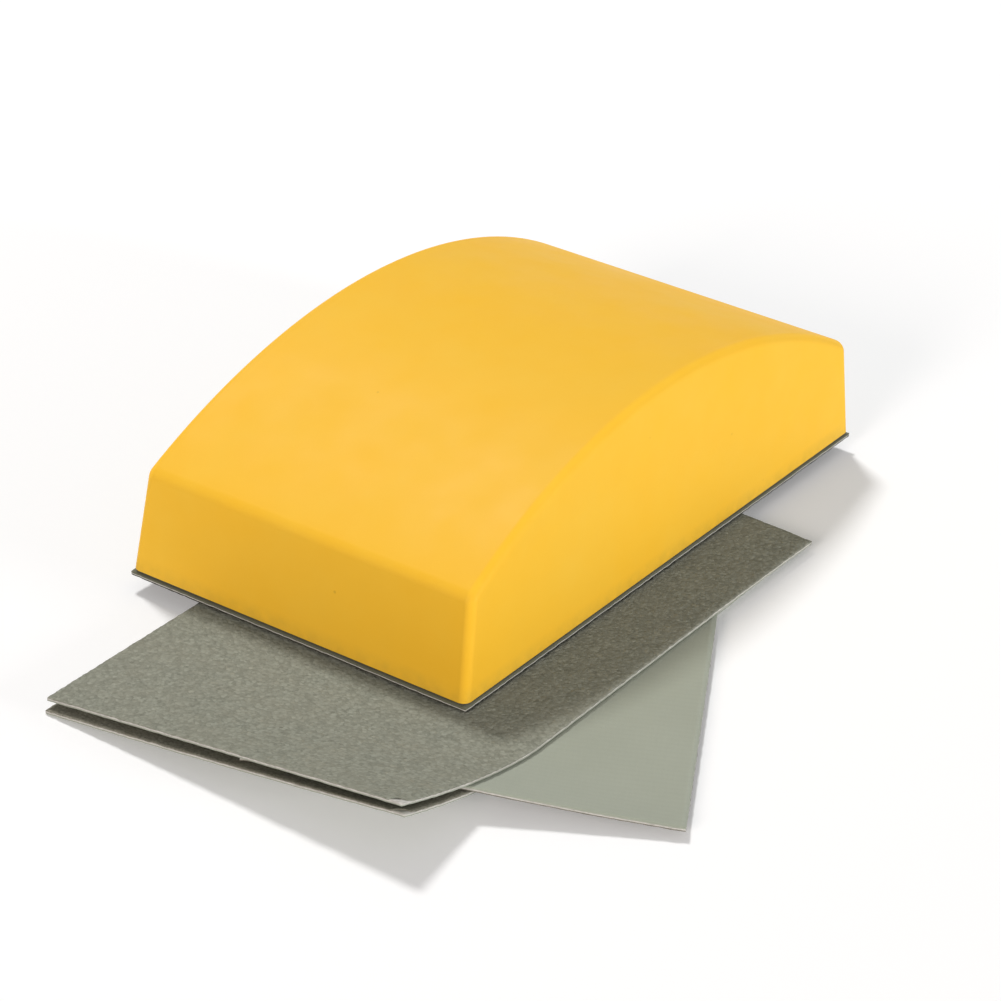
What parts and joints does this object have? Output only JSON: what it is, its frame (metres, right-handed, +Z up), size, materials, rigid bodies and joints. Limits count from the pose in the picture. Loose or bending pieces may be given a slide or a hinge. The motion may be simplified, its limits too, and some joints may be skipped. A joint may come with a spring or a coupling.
{
  "type": "sanding block",
  "caption": "Hand sanding block with an arched top and a hook pad, an abrasive sheet fitted under it, resting on a fanned stack of spare hook-and-loop abrasive sheets.",
  "frame": {"origin": "on the table, under the middle of the block, in the underside of the lowest spare sheet", "axes": "+X along the block's length, away from the end that the spare sheets stick out of; +Y across the block; +Z up"},
  "size_m": [0.1642, 0.1196, 0.0385],
  "materials": {
    "block_body": "satin",
    "hook_pad": "matte",
    "loop": "matte",
    "paper": "matte",
    "coarse_grit": "matte",
    "medium_grit": "matte",
    "fine_grit": "matte",
    "black_grit": "matte"
  },
  "bodies": {
    "lower_sheet": {"lower_sheet_loop": "loop", "lower_sheet_paper": "paper", "lower_sheet_grit": "medium_grit"},
    "middle_sheet": {"middle_sheet_loop": "loop", "middle_sheet_paper": "paper", "middle_sheet_grit": "fine_grit"},
    "upper_sheet": {"upper_sheet_loop": "loop", "upper_sheet_paper": "paper", "upper_sheet_grit": "coarse_grit"},
    "fitted_sheet": {"fitted_sheet_loop": "loop", "fitted_sheet_paper": "paper", "fitted_sheet_grit": "black_grit"},
    "block": {"block_body": "block_body", "hook_pad": "hook_pad"}
  },
  "joints": [
    {"name": "middle_sheet_lift", "type": "slide", "parent": "lower_sheet", "child": "middle_sheet", "axis": [0, 0, 1], "range_m": [0, 0.03]},
    {"name": "upper_sheet_lift", "type": "slide", "parent": "middle_sheet", "child": "upper_sheet", "axis": [0, 0, 1], "range_m": [0, 0.03]},
    {"name": "block_set_lift", "type": "slide", "parent": "upper_sheet", "child": "fitted_sheet", "axis": [0, 0, 1], "range_m": [0, 0.06]},
    {"name": "sheet_peel", "type": "slide", "parent": "fitted_sheet", "child": "block", "axis": [0, 0, 1], "range_m": [0, 0.03]}
  ]
}
